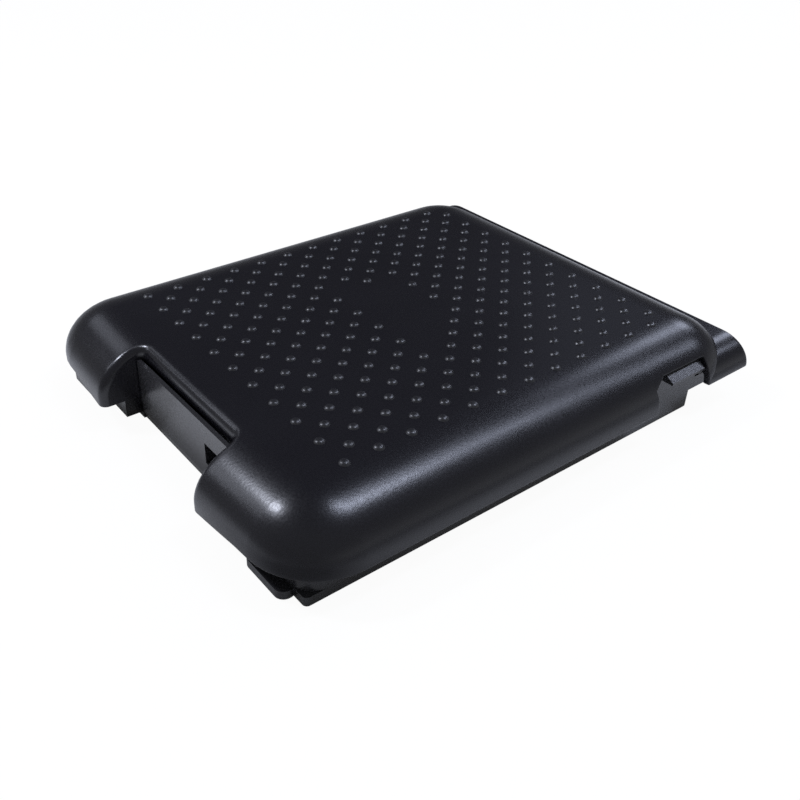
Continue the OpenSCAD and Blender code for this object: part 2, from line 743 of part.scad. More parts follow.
module hinge_pin() color([0.72, 0.73, 0.75]) {
    length = 2 * (lug_t + ear_gap) + ear_t;
    translate([lug_inner_x, hinge_y, hinge_z]) rotate([0, 90, 0])
        cylinder(length, pin_r, pin_r);
}
module hinge_pin_left() mirror([1, 0, 0]) hinge_pin();
module hinge_pin_right() hinge_pin();

// The left and right springs are the same hand
spring_top_z = ceiling_z - seat_pad_t - spring_wire_r - seat_gap;
module return_spring(side) color([0.75, 0.76, 0.78])
    translate([side * spring_x, spring_y, 0])
        coil(spring_r, spring_wire_r, spring_turns,
            floor_z + spring_wire_r + seat_gap, spring_top_z);
module return_spring_left() return_spring(-1);
module return_spring_right() return_spring(1);

module rubber_stops() color([0.09, 0.09, 0.09])
    both_sides() translate([stop_x, stop_y, floor_z]) cylinder(stop_h, stop_r, stop_r);

module rubber_foot(place) color([0.09, 0.09, 0.09])
    translate([place[0], place[1], 0]) cylinder(base_z + foot_pocket, foot_r, foot_r);
module foot_front_left() rubber_foot(foot_places[0]);
module foot_front_right() rubber_foot(foot_places[1]);
module foot_rear_left() rubber_foot(foot_places[2]);
module foot_rear_right() rubber_foot(foot_places[3]);

// ---------- inner cover and board ----------

cover_ear_t = 2;
cover_ear_z = floor_z + cover_boss_h;
wire_slot_w = 14;
wire_slot_h = 5.5;
terminal_x = -socket_x;
module inner_cover() color([0.13, 0.13, 0.14]) difference() {
    union() {
        translate([0, 0, floor_z]) linear_extrude(cover_z - floor_z)
            round_rect(-cover_w / 2, cover_y0, cover_w / 2, cover_y0 + cover_l, 3);
        both_sides() for (y = cover_ear_y) translate([0, y, cover_ear_z]) {
            translate([cover_ear_x, 0, 0]) cylinder(cover_ear_t, standoff_r, standoff_r);
            translate([cover_w / 2 - 1, -standoff_r, 0])
                cube([cover_ear_x - cover_w / 2 + 1, 2 * standoff_r, cover_ear_t]);
        }
    }
    translate([0, 0, floor_z - 1]) linear_extrude(cover_z - cover_wall - floor_z + 1)
        round_rect(-cover_w / 2 + cover_wall, cover_y0 + cover_wall,
            cover_w / 2 - cover_wall, cover_y0 + cover_l - cover_wall, 3 - cover_wall);
    both_sides() for (y = cover_ear_y) translate([cover_ear_x, y, cover_ear_z - 1])
        cylinder(cover_ear_t + 2, screw_r + 0.3, screw_r + 0.3, $fn = 24);
    translate([0, plunger_y, cover_z - cover_wall - 1])
        cylinder(cover_wall + 2, stem_r + stem_clearance, stem_r + stem_clearance);
    mirror([1, 0, 0]) translate([terminal_x - wire_slot_w / 2, cover_y0 - 1, floor_z - 1])
        cube([wire_slot_w, cover_wall + 2, wire_slot_z - floor_z + 1 + wire_slot_h]);
    // Ventilation slots over the heat sink
    mirror([1, 0, 0]) for (i = [0 : 4])
        translate([heat_sink_x - 10 + 5 * i, heat_sink_y - 9, cover_z - cover_wall - 1])
            cube([2, 18, cover_wall + 2]);
}

module cover_screws() color([0.7, 0.7, 0.72])
    both_sides() for (y = cover_ear_y) translate([cover_ear_x, y, 0])
        screw(cover_ear_z + cover_ear_t, 5.5);

board_top_z = board_z + board_t;
board_well_r = 6;
module circuit_board() color([0.12, 0.32, 0.18]) mirror([1, 0, 0]) difference() {
    translate([-board_w / 2, board_y0, board_z]) cube([board_w, board_l, board_t]);
    both_sides() for (y = board_hole_y) translate([board_hole_x, y, board_z - 1])
        cylinder(board_t + 2, screw_r + 0.3, screw_r + 0.3, $fn = 24);
    translate([0, plunger_y, board_z - 1]) cylinder(board_t + 2, board_well_r, board_well_r);
}

module board_screws() color([0.7, 0.7, 0.72])
    both_sides() for (y = board_hole_y) translate([board_hole_x, y, 0])
        screw(board_top_z, 4.5);

// ---------- speed sensor ----------

// The plunger rests with its collar under the cover and its dome under the treadle's pad
collar_z = cover_z - cover_wall - seat_gap - collar_t;
dome_gap = 0.3;
stem_top_z = ceiling_z - pad_h - dome_gap;
stem_bottom_z = floor_z + drop_at(plunger_arm) + 1.2;
arm_y_half = 2;
slider_x0 = 7;
module sensor_plunger() color([0.85, 0.84, 0.8]) mirror([1, 0, 0])
    translate([0, plunger_y, 0]) difference() {
    union() {
        translate([0, 0, stem_bottom_z])
            cylinder(stem_top_z - stem_bottom_z - 0.8, stem_r, stem_r);
        translate([0, 0, stem_top_z - 0.8]) cylinder(0.8, stem_r, stem_r - 1.2);
        translate([0, 0, collar_z]) cylinder(collar_t, collar_r, collar_r);
        translate([0, -arm_y_half, collar_z]) cube([slider_x0 + 1.6, 2 * arm_y_half, collar_t]);
    }
    // Slot that grips the slider's tab
    translate([slider_x0, -arm_y_half / 2, collar_z - 1]) cube([4, arm_y_half, collar_t + 2]);
}

plunger_spring_r = 3.9;
module plunger_spring() color([0.75, 0.76, 0.78]) mirror([1, 0, 0]) translate([0, plunger_y, 0])
    coil(plunger_spring_r, plunger_wire_r, plunger_turns,
        floor_z + plunger_wire_r + seat_gap, collar_z - plunger_wire_r - seat_gap);

pot_x0 = 9.4;
pot_size = [6, 13, 8.2];
pot_slot_w = 2.6;
tab_t = 1.2;
module potentiometer_body() color([0.16, 0.16, 0.17]) mirror([1, 0, 0]) difference() {
    translate([pot_x0, plunger_y - pot_size[1] / 2, board_top_z]) cube(pot_size);
    translate([pot_x0 - 1, plunger_y - pot_slot_w / 2, board_top_z + 0.8])
        cube([4.5, pot_slot_w, pot_size[2]]);
}
module potentiometer_slider() color([0.8, 0.8, 0.78]) mirror([1, 0, 0])
    translate([slider_x0, plunger_y - arm_y_half / 2, collar_z + 0.1])
        cube([pot_x0 + 3 - slider_x0, arm_y_half, tab_t]);

// ---------- cord socket and wiring ----------

socket_y0 = panel_y + socket_inset;
socket_z = bay_z;
contact_xs = [for (i = [-1 : 1]) -socket_x + 4 * i];
contact_z = socket_z + socket_h / 2;
blade = [1.2, 0.6];
// Bay behind the panel that carries the socket, with a cheek on each side
bay_wall = 1.2;
socket_gap = 0.05;
module socket_bay() mirror([1, 0, 0]) {
    x0 = -socket_x - socket_w / 2 - bay_wall;
    y0 = panel_back_y - eps;
    length = socket_y0 + socket_d - y0;
    translate([x0, y0, floor_z - 0.5])
        cube([socket_w + 2 * bay_wall, length, bay_z - floor_z + 0.5]);
    for (x = [x0, x0 + socket_w + bay_wall]) translate([x, y0, bay_z - 0.5])
        cube([bay_wall, length, socket_h + bay_head + 0.5]);
}
module cord_socket() color([0.1, 0.1, 0.11]) mirror([1, 0, 0]) difference() {
    translate([socket_gap - socket_x - socket_w / 2, socket_y0, socket_z])
        cube([socket_w - 2 * socket_gap, socket_d, socket_h]);
    translate([-socket_x - socket_w / 2 + socket_wall, socket_y0 - 1, socket_z + socket_wall])
        cube([socket_w - 2 * socket_wall, socket_d - 1.6, socket_h - 2 * socket_wall]);
    for (x = contact_xs) translate([x - blade[0] / 2, socket_y0, contact_z - blade[1] / 2])
        cube([blade[0], socket_d + 1, blade[1]]);
}

module socket_contacts() color([0.8, 0.68, 0.35]) mirror([1, 0, 0])
    for (x = contact_xs) translate([x - blade[0] / 2, socket_y0 + 2, contact_z - blade[1] / 2])
        cube([blade[0], socket_d, blade[1]]);

terminal_size = [14, 7, 8];
terminal_y0 = board_y0 + 3;
wire_slot_z = contact_z - wire_slot_h / 2;
wire_r = 0.8;
module socket_wires() color([0.55, 0.12, 0.1]) mirror([1, 0, 0])
    for (x = contact_xs) translate([x, socket_y0 + socket_d + 2, contact_z]) rotate([-90, 0, 0])
        cylinder(terminal_y0 - socket_y0 - socket_d - 2, wire_r, wire_r, $fn = 16);

module terminal_block() color([0.12, 0.3, 0.16]) mirror([1, 0, 0]) difference() {
    translate([terminal_x - terminal_size[0] / 2, terminal_y0, board_top_z]) cube(terminal_size);
    for (x = contact_xs) translate([x, terminal_y0 + terminal_size[1] / 2, board_top_z + 3])
        cylinder(terminal_size[2], 1.5, 1.5, $fn = 24);
}
module terminal_screws() color([0.75, 0.75, 0.77]) mirror([1, 0, 0])
    for (x = contact_xs) translate([x, terminal_y0 + terminal_size[1] / 2, board_top_z + 3])
        difference() {
            cylinder(terminal_size[2] - 3.4, 1.45, 1.45, $fn = 24);
            translate([-2, -0.25, terminal_size[2] - 4]) cube([4, 0.5, 2]);
        }

// The board and its parts are laid out as seen from below, so each one is mirrored in place.

// ---------- board components ----------

board_hx = board_w / 2;
heat_sink_x = board_hx - 22;
heat_sink_y = board_y0 + board_l - 16;
sink_base_t = 1.6;
sink_fins = 5;
fin_h = 5.6;
sink_size = [24, 14];
module heat_sink() color([0.6, 0.61, 0.63]) mirror([1, 0, 0]) difference() {
    translate([heat_sink_x - sink_size[0] / 2, heat_sink_y - sink_size[1] / 2, board_top_z]) {
        cube([sink_size[0], sink_size[1], sink_base_t]);
        for (i = [0 : sink_fins - 1])
            translate([i < 2 ? i * 2.4 : sink_size[0] - 1 - (4 - i) * 2.4, 0, 0])
                cube([1, sink_size[1], sink_base_t + fin_h]);
    }
    translate([heat_sink_x - 2, triac_hole_y, board_top_z - 1])
        cylinder(4, screw_r - screw_bite, screw_r - screw_bite, $fn = 24);
}

triac_z = board_top_z + sink_base_t;
triac_hole_y = heat_sink_y + 4;
tab_size = [8, 12.5, 1];
module triac() color([0.08, 0.08, 0.085]) mirror([1, 0, 0]) translate([heat_sink_x - 2, 0, triac_z]) {
    difference() {
        translate([-tab_size[0] / 2, heat_sink_y - 5.8, 0]) cube(tab_size);
        translate([0, triac_hole_y, -1]) cylinder(3, screw_r + 0.3, screw_r + 0.3, $fn = 24);
    }
    translate([-tab_size[0] / 2, heat_sink_y - 5.8, 0]) cube([tab_size[0], 7, 3.6]);
    for (i = [-1 : 1]) translate([2.4 * i - 0.4, heat_sink_y - 10, 1]) {
        cube([0.8, 5, 0.6]);
        translate([0, 0, -1 - sink_base_t]) cube([0.8, 0.6, 1.6 + sink_base_t]);
    }
}
module heat_sink_screw() color([0.75, 0.75, 0.77]) mirror([1, 0, 0])
    translate([heat_sink_x - 2, triac_hole_y, 0])
        screw(triac_z + tab_size[2], tab_size[2] + sink_base_t);

cap_size = [18, 8, 8];
module film_capacitor() color([0.75, 0.6, 0.15]) mirror([1, 0, 0])
    translate([-14, board_y0 + 34, board_top_z]) cube(cap_size);

disc_r = 3.8;
module disc_capacitor() color([0.7, 0.42, 0.15]) mirror([1, 0, 0])
    translate([14 - board_hx, board_y0 + 30, board_top_z + disc_r]) rotate([90, 0, 0])
        cylinder(2.6, disc_r, disc_r);

choke_place = [14 - board_hx, board_y0 + board_l - 18];
choke_r = 7;
choke_core_r = 2.1;
choke_wound_r = 3.1;
module choke_core() color([0.25, 0.25, 0.26]) mirror([1, 0, 0])
    translate([choke_place[0], choke_place[1], board_top_z + choke_wound_r])
        rotate_extrude() translate([choke_r, 0]) circle(choke_core_r, $fn = 24);
module choke_winding() color([0.72, 0.38, 0.16]) mirror([1, 0, 0])
    translate([choke_place[0], choke_place[1], board_top_z + choke_wound_r])
        for (a = [20, 200]) rotate(a) rotate_extrude(angle = 140) translate([choke_r, 0])
            difference() {
                circle(choke_wound_r, $fn = 24);
                circle(choke_core_r, $fn = 24);
            }

power_r = 2.6;
module power_resistor() color([0.82, 0.8, 0.74]) mirror([1, 0, 0])
    translate([-10, board_y0 + board_l - 10, board_top_z + power_r]) rotate([0, 90, 0]) {
        cylinder(16, power_r, power_r);
        for (x = [-2.4, 17.6]) translate([0, 0, x]) lead(power_r);
        translate([0, 0, -2.4]) cylinder(20.8, 0.4, 0.4, $fn = 12);
    }
// A lead that turns down to the board beside a component that lies along the local Z axis
module lead(drop) rotate([0, 90, 0]) cylinder(drop, 0.4, 0.4, $fn = 12);

small_r = 1.2;
module resistors() color([0.75, 0.68, 0.5]) mirror([1, 0, 0])
    for (i = [0 : 3]) translate([board_hx - 20, board_y0 + 20 + 5 * i, board_top_z + small_r])
        rotate([0, 90, 0]) {
            cylinder(6.4, small_r, small_r, $fn = 24);
            for (z = [-1.8, 8.2]) translate([0, 0, z]) lead(small_r);
            translate([0, 0, -1.8]) cylinder(10, 0.4, 0.4, $fn = 12);
        }

fuse_r = 2.5;
fuse_place = [board_hx - 27.4, board_y0 + 5.5];
fuse_l = 18;
clip_xs = [1, 13];
module fuse() color([0.85, 0.87, 0.88]) mirror([1, 0, 0])
    translate([fuse_place[0], fuse_place[1], board_top_z + fuse_r + 0.8]) rotate([0, 90, 0])
        cylinder(fuse_l, fuse_r, fuse_r);
module fuse_clips() color([0.78, 0.78, 0.8]) mirror([1, 0, 0])
    for (x = clip_xs) translate([fuse_place[0] + x, fuse_place[1], board_top_z]) difference() {
        translate([0, -fuse_r - 0.7, 0]) cube([4, 2 * fuse_r + 1.4, fuse_r + 1.6]);
        translate([-1, 0, fuse_r + 0.8]) rotate([0, 90, 0]) cylinder(6, fuse_r, fuse_r);
    }

echo("least gap between turns, return spring", coil_gap(spring_r, spring_wire_r, spring_turns,
    floor_z + spring_wire_r + seat_gap, spring_top_z));
echo("least gap between turns, plunger spring", coil_gap(plunger_spring_r, plunger_wire_r,
    plunger_turns, floor_z + plunger_wire_r + seat_gap, collar_z - plunger_wire_r - seat_gap));

treadle();
base_tray();
hinge_pin_left();
hinge_pin_right();
return_spring_left();
return_spring_right();
rubber_stops();
foot_front_left();
foot_front_right();
foot_rear_left();
foot_rear_right();
inner_cover();
cover_screws();
circuit_board();
board_screws();
sensor_plunger();
plunger_spring();
potentiometer_body();
potentiometer_slider();
cord_socket();
socket_contacts();
socket_wires();
terminal_block();
terminal_screws();
triac();
heat_sink();
heat_sink_screw();
film_capacitor();
disc_capacitor();
choke_core();
choke_winding();
power_resistor();
resistors();
fuse();
fuse_clips();
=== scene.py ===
"""Looks of a flat sewing machine foot control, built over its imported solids."""

import json
import math

import bmesh
import bpy
from mathutils import Matrix, Vector


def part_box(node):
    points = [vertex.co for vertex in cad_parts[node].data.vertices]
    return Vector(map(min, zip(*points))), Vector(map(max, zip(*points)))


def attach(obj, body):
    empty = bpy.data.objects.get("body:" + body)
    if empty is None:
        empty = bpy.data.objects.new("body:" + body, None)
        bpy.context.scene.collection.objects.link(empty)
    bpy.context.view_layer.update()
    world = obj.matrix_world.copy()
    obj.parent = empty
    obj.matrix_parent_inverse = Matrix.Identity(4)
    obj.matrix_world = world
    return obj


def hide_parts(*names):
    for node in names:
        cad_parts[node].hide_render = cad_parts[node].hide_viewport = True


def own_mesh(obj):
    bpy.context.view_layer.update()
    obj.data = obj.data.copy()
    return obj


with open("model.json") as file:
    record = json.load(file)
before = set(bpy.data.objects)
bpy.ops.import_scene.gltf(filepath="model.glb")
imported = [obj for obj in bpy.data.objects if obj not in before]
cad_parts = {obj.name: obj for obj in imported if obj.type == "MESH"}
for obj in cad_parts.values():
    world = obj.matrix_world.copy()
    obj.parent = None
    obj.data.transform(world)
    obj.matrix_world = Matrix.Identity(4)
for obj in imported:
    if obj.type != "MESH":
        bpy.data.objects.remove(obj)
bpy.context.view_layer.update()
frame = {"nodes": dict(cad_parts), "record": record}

# ---------- camera ----------

CAMERA_AT = (0.2101556, -0.1737716, 0.1761199)

# The X, Y and Z of the camera's right, up and back
CAMERA_TURN = [
    (0.6031521, -0.4427439, 0.6634647),
    (0.7974953, 0.3196717, -0.5116749),
    (0.0144500, 0.8377278, 0.5458969),
]
SENSOR, LENS = 36, 41.80211
SHIFT_X, SHIFT_Y = 0.0461788, -0.0206381


def place_camera():
    """Camera on the toe side, above the near corner."""
    data = bpy.data.cameras.new("pedal_camera")
    camera = bpy.data.objects.new("pedal_camera", data)
    bpy.context.scene.collection.objects.link(camera)
    rows = [(*turn, at) for turn, at in zip(CAMERA_TURN, CAMERA_AT)]
    camera.matrix_world = Matrix(rows + [(0, 0, 0, 1)])
    data.sensor_width, data.lens = SENSOR, LENS
    data.shift_x, data.shift_y = SHIFT_X, SHIFT_Y
    data.clip_start = 0.01
    bpy.context.scene.camera = camera


# ---------- light ----------

COOL, PALE = (0.74, 0.80, 1.0), (0.82, 0.86, 1.0)
AIR_COLOUR = (0.93, 0.95, 1.0)
AIM = Vector((0, 0, 0.02))
# Directions in the air
FAR_SIDE, NEAR_SIDE, UP = (-0.5, 0.5, 0.7), (0.86, 0.51, 0.0), (0.0, 0.0, 1.0)

# Name, direction, width, height, watts and colour of each softbox
SOFTBOXES = [
    ("heel_softbox", (0.225, 0.34, 0.91), 0.10, 0.30, 3.2, COOL),
    ("heel_tail", (0.205, 0.58, 0.80), 0.10, 0.30, 0.95, COOL),
    ("heel_low", (0.25, 0.77, 0.59), 0.12, 0.12, 0.4, COOL),
    ("far_softbox", (-0.15, 0.83, 0.53), 0.15, 0.36, 1.15, COOL),
    ("far_glow", (-0.40, 0.75, 0.53), 0.30, 0.30, 0.06, COOL),
    ("toe_softbox", (-0.465, -0.49, 0.74), 0.11, 0.11, 4.8, PALE),
    ("toe_tail", (-0.64, -0.62, 0.47), 0.20, 0.20, 0.50, PALE),
    ("toe_far_tail", (-0.84, -0.22, 0.50), 0.20, 0.20, 0.22, PALE),
]


def softbox(name, toward, width, height, watts, colour):
    """Area light a metre away in a direction from the pedal's middle, facing it."""
    data = bpy.data.lights.new(name, "AREA")
    data.shape, data.size, data.size_y, data.energy = "RECTANGLE", width, height, watts
    data.color = colour
    lamp = bpy.data.objects.new(name, data)
    bpy.context.scene.collection.objects.link(lamp)
    way = Vector(toward).normalized()
    lamp.location = way + AIM
    lamp.rotation_euler = way.to_track_quat("Z", "Y").to_euler()


def studio():
    """Softboxes over the heel and the toe, and the air around them.

    The air lights the pedal from the far side. In reflections it is dim, with a glow low
    on the near side.
    """
    for row in SOFTBOXES:
        softbox(*row)
    world = bpy.data.worlds.new("studio_air")
    bpy.context.scene.world = world
    world.use_nodes = True
    air = Coat(world=world)
    shine = air.add("ShaderNodeLightPath", {}, out="Is Glossy Ray")
    way = air.add("ShaderNodeTexCoord", {}, out="Generated")
    far = air.measure("DOT_PRODUCT", way, FAR_SIDE)
    near = air.measure("DOT_PRODUCT", way, NEAR_SIDE)
    up = air.measure("DOT_PRODUCT", way, UP)
    light = air.fade(far, (-0.6, 1.0), (0.05, 0.95))
    dim = air.fade(far, (0.1, 0.9), (0.28, 0.04))
    glow = air.fade(up, (0.0, 0.4), (0.5, 0.0)) * air.fade(near, (0.5, 0.9), (0.0, 1.0))
    air.feed((1 - shine) * light + (dim + glow) * shine, air.surface.inputs["Strength"])
    air.feed(AIR_COLOUR, air.surface.inputs["Color"])


# ---------- shader sums ----------


class Flow:
    """One output socket, whose sums are written as Python."""

    def __init__(self, coat, socket):
        self.coat, self.socket = coat, socket

    def sum(self, operation, *values):
        """The outcome of one of the shader's sums."""
        return self.coat.add("ShaderNodeMath", {"operation": operation}, *values)

    def __add__(self, other):
        return self.sum("ADD", self, other)

    __radd__ = __add__

    def __sub__(self, other):
        return self.sum("SUBTRACT", self, other)

    def __rsub__(self, other):
        return self.sum("SUBTRACT", other, self)

    def __mul__(self, other):
        return self.sum("MULTIPLY", self, other)

    __rmul__ = __mul__

    def __gt__(self, other):
        return self.sum("GREATER_THAN", self, other)

    def or_more(self, other):
        """The greater of two flows."""
        return self.sum("MAXIMUM", self, other)


class Coat:
    """One material or world: its node tree, its shader, and the one way to add a node."""

    def __init__(self, name=None, world=None):
        self.material = None if world else bpy.data.materials.new(name)
        if self.material:
            self.material.use_nodes = True
        self.tree = (world or self.material).node_tree
        self.surface = self.tree.nodes["Background" if world else "Principled BSDF"]

    def feed(self, value, socket):
        """Links a flow, or sets a plain number or colour."""
        if isinstance(value, Flow):
            self.tree.links.new(value.socket, socket)
        elif isinstance(value, tuple) and len(value) == 3 and socket.type == "RGBA":
            socket.default_value = (*value, 1)
        else:
            socket.default_value = value

    def add(self, kind, settings, *values, out=0, **named):
        """A node with its settings, its inputs by place or by name, and one output."""
        node = self.tree.nodes.new(kind)
        for key, value in settings.items():
            setattr(node, key, value)
        for index, value in enumerate(values):
            self.feed(value, node.inputs[index])
        for key, value in named.items():
            self.feed(value, node.inputs[key.replace("_", " ")])
        return Flow(self, node.outputs[out])

    def measure(self, operation, *vectors):
        """A dot product, a length or a distance."""
        return self.add("ShaderNodeVectorMath", {"operation": operation}, *vectors, out="Value")

    def fade(self, value, between, ends):
        """A number that goes from one end to the other while value goes between two limits."""
        return self.add("ShaderNodeMapRange", {}, value, *between, *ends)

    def spot(self):
        """Place on the piece, in metres."""
        return self.add("ShaderNodeTexCoord", {}, out="Object")

    def mottle(self, scale, detail=2.0, stretch=None):
        """Soft noise over the piece."""
        where = self.spot()
        if stretch:
            where = self.add("ShaderNodeMapping", {}, where, Scale=stretch)
        return self.add("ShaderNodeTexNoise", {}, Vector=where, Scale=scale, Detail=detail)

    def tint(self, share, first, second):
        """A colour between two colours. The node has its colours in inputs 6 and 7."""
        node = self.tree.nodes.new("ShaderNodeMix")
        node.data_type = "RGBA"
        for value, index in ((share, 0), (first, 6), (second, 7)):
            self.feed(value, node.inputs[index])
        return Flow(self, node.outputs[2])

    def finish(self, colour, roughness, height=None, depth=0.0001, strength=0.5, **fixed):
        """The material, with a bump of a depth in metres where a height is given."""
        self.feed(colour, self.surface.inputs["Base Color"])
        self.feed(roughness, self.surface.inputs["Roughness"])
        for key, value in fixed.items():
            self.feed(value, self.surface.inputs[key.replace("_", " ")])
        if height is not None:
            bump = self.add("ShaderNodeBump", {}, Strength=strength, Distance=depth, Height=height)
            self.feed(bump, self.surface.inputs["Normal"])
        return self.material


# ---------- finishes ----------


def satin_black(name, dark, light, rough, grain_scale, index):
    """Moulded black plastic: a fine spark-eroded grain, faint cloudiness and flow marks."""
    coat = Coat(name)
    cloud = coat.mottle(28.0, 3.0)
    grain = coat.mottle(grain_scale, 2.0)
    pores = coat.add("ShaderNodeTexVoronoi", {}, Vector=coat.spot(), Scale=grain_scale * 0.6)
    flow = coat.mottle(14.0, 2.0, (1.0, 0.25, 1.0))
    colour = coat.tint(cloud * 0.6 + grain * 0.4, dark, light)
    roughness = rough + 0.10 * (cloud - 0.5) + 0.16 * (grain - 0.5) + 0.06 * (flow - 0.5)
    height = 0.6 * grain + 0.4 * pores
    return coat.finish(colour, roughness, height, 0.00006, 0.35, IOR=index)


def foot_rubber():
    """Matt rubber with a faint bloom."""
    coat = Coat("foot_rubber")
    bloom = coat.mottle(60.0, 4.0)
    grit = coat.mottle(1800.0, 2.0)
    colour = coat.tint(bloom, (0.014, 0.014, 0.014), (0.034, 0.033, 0.032))
    return coat.finish(colour, 0.72 + 0.2 * (grit - 0.5), grit, 0.00008, 0.5)


def ground_metal(name, shade, stretch, rough):
    """Metal with a fine grain, drawn out into lines along the axis of least stretch."""
    coat = Coat(name)
    lines = coat.mottle(900.0, 3.0, stretch)
    stain = coat.mottle(45.0, 2.0)
    low = tuple(0.82 * c for c in shade)
    colour = coat.tint(stain * 0.5 + lines * 0.5, low, shade)
    return coat.finish(colour, rough + 0.25 * (lines - 0.5), lines, 0.00001, 0.3, Metallic=1.0)


def dull_plastic(name, dark, light, rough=0.55):
    """Plain moulded plastic or resin with a fine grain."""
    coat = Coat(name)
    cloud = coat.mottle(50.0, 3.0)
    grain = coat.mottle(1500.0, 2.0)
    colour = coat.tint(cloud, dark, light)
    return coat.finish(colour, rough + 0.2 * (grain - 0.5), grain, 0.00004, 0.3)


def board_lacquer():
    """Lacquered board: tracks run under the lacquer as paler bands on a fine weave."""
    coat = Coat("board_lacquer")
    where = coat.spot()
    across = coat.add("ShaderNodeTexWave", {"bands_direction": "X"}, where, 90.0, 3.0, 1.0)
    along = coat.add("ShaderNodeTexWave", {"bands_direction": "Y"}, where, 700.0, 0.0, 0.0)
    tracks = across > 0.72
    base = coat.tint(along * 0.35, (0.012, 0.075, 0.03), (0.03, 0.13, 0.055))
    colour = coat.tint(tracks * 0.7, base, (0.07, 0.24, 0.10))
    return coat.finish(colour, 0.28 + 0.1 * along, tracks * 0.6 + along * 0.1, 0.00004, 0.5)


def wound_copper():
    """Enamelled copper wire, with its turns as rings."""
    coat = Coat("wound_copper")
    rings = {"wave_type": "RINGS", "rings_direction": "SPHERICAL"}
    turns = coat.add("ShaderNodeTexWave", rings, coat.spot(), 260.0, 1.0, 1.0)
    colour = coat.tint(turns, (0.30, 0.10, 0.03), (0.72, 0.31, 0.11))
    return coat.finish(colour, 0.3, turns, 0.0003, 0.6, Metallic=1.0)


def banded_ceramic():
    """Resistor body with dark bands."""
    coat = Coat("banded_ceramic")
    wave = coat.add("ShaderNodeTexWave", {"bands_direction": "X"}, coat.spot(), 130.0, 0.0, 0.0)
    bands = wave > 0.8
    body = coat.tint(coat.mottle(300.0), (0.52, 0.42, 0.26), (0.62, 0.52, 0.34))
    colour = coat.tint(bands, body, (0.22, 0.08, 0.03))
    return coat.finish(colour, 0.38, bands, 0.00002, 0.3)


def clear_tube():
    """Clear glass, slightly smeared."""
    coat = Coat("clear_tube")
    smear = coat.mottle(120.0, 3.0)
    return coat.finish((0.9, 0.93, 0.94), 0.03 + 0.05 * smear, Transmission_Weight=1.0, IOR=1.48)


JET = (0.0048, 0.0045, 0.0062), (0.0080, 0.0076, 0.0104)
SOOT = (0.0150, 0.0146, 0.0160), (0.0220, 0.0214, 0.0236)

# For each finish, the function that makes it and the values that the function takes
FINISHES = {
    "dot_plastic": (satin_black, "dot_plastic", *JET, 0.37, 1700.0, 1.64),
    "treadle_plastic": (satin_black, "treadle_plastic", *JET, 0.27, 1700.0, 1.46),
    "base_plastic": (satin_black, "base_plastic", *SOOT, 0.28, 1500.0, 1.60),
    "steel_pin": (ground_metal, "pin_steel", (0.58, 0.58, 0.59), (1, 0.05, 1), 0.3),
    "spring_steel": (ground_metal, "spring_wire", (0.45, 0.45, 0.47), (1, 1, 0.2), 0.34),
    "screw_steel": (ground_metal, "zinc_plate", (0.62, 0.62, 0.60), (1, 1, 1), 0.28),
    "contact_brass": (ground_metal, "contact_brass", (0.72, 0.52, 0.22), (1, 0.1, 1), 0.3),
    "sink_aluminium": (ground_metal, "sink_aluminium", (0.62, 0.63, 0.64), (0.1, 1, 1), 0.36),
    "cover_plastic": (dull_plastic, "cover_plastic", (0.02, 0.02, 0.021), (0.04, 0.04, 0.042)),
    "plunger_plastic": (
        dull_plastic, "plunger_plastic", (0.60, 0.59, 0.55), (0.72, 0.71, 0.67), 0.4),
    "component_black": (
        dull_plastic, "component_resin", (0.012, 0.012, 0.013), (0.03, 0.03, 0.032), 0.42),
    "wire_insulation": (
        dull_plastic, "wire_insulation", (0.30, 0.02, 0.015), (0.42, 0.035, 0.025), 0.35),
    "terminal_plastic": (
        dull_plastic, "terminal_plastic", (0.02, 0.12, 0.04), (0.035, 0.19, 0.07)),
    "film_capacitor_case": (
        dull_plastic, "film_capacitor_case", (0.50, 0.33, 0.04), (0.62, 0.43, 0.06), 0.35),
    "disc_ceramic": (dull_plastic, "disc_ceramic", (0.45, 0.19, 0.04), (0.60, 0.28, 0.06), 0.33),
    "ferrite": (dull_plastic, "ferrite", (0.05, 0.05, 0.052), (0.09, 0.09, 0.094), 0.6),
    "rubber": (foot_rubber,),
    "board_laminate": (board_lacquer,),
    "copper_winding": (wound_copper,),
    "resistor_body": (banded_ceramic,),
    "fuse_glass": (clear_tube,),
}
made_finishes = {}


def finish_of(name):
    """The material of a finish, made once."""
    if name not in made_finishes:
        maker, *values = FINISHES[name]
        made_finishes[name] = maker(*values)
    return made_finishes[name]


# ---------- treadle shell ----------

QUARTER = math.pi / 2

# Sizes in millimetres, as the solids have them. The shoulder reaches RUN in and DROP down.
TOP, RUN, DROP, WALL = 27.5, 22.0, 16.0, 2.2
TOE, HEEL, SIDE = -92.5, 92.5, 77.5
NOTCH_X, NOTCH_Y = 29.0, -77.2
# The toe's wall is bowed. The core is the flat top's outline, where the shoulder starts.
BOW_R = 1000.0
BOW_Y = TOE + math.sqrt(BOW_R**2 - NOTCH_X**2)
CORE_R = BOW_R - RUN
CORE_X = SIDE - RUN
TOE_CORE = BOW_Y - math.sqrt(CORE_R**2 - CORE_X**2)
HEEL_CORE = HEEL - RUN
BOW_TURN = math.asin(CORE_X / CORE_R)
SKIRT = 10.5
LOBE_DIP, LOBE_DIP_X, LOBE_DIP_RUN = 1.7, NOTCH_X + 22, 20
APRON, APRON_TOP, APRON_Y = 11.7, 20.6, 71.2
APRON_RUN, APRON_BACK_R = 11.5, 1.2
WINDOW_Y0, WINDOW_SLOPE_Y, WINDOW_TOP, WINDOW_LOW = 45.5, 50.5, 21.0, 18.4
# Round edges of the notch: at the lobes, and at the lip behind it
EDGE_R, LIP_R = 2.6, 3.5
LIP_CORNER_R = 3.0
LIP_FOOT = 22.0
EDGE_STEPS = 6


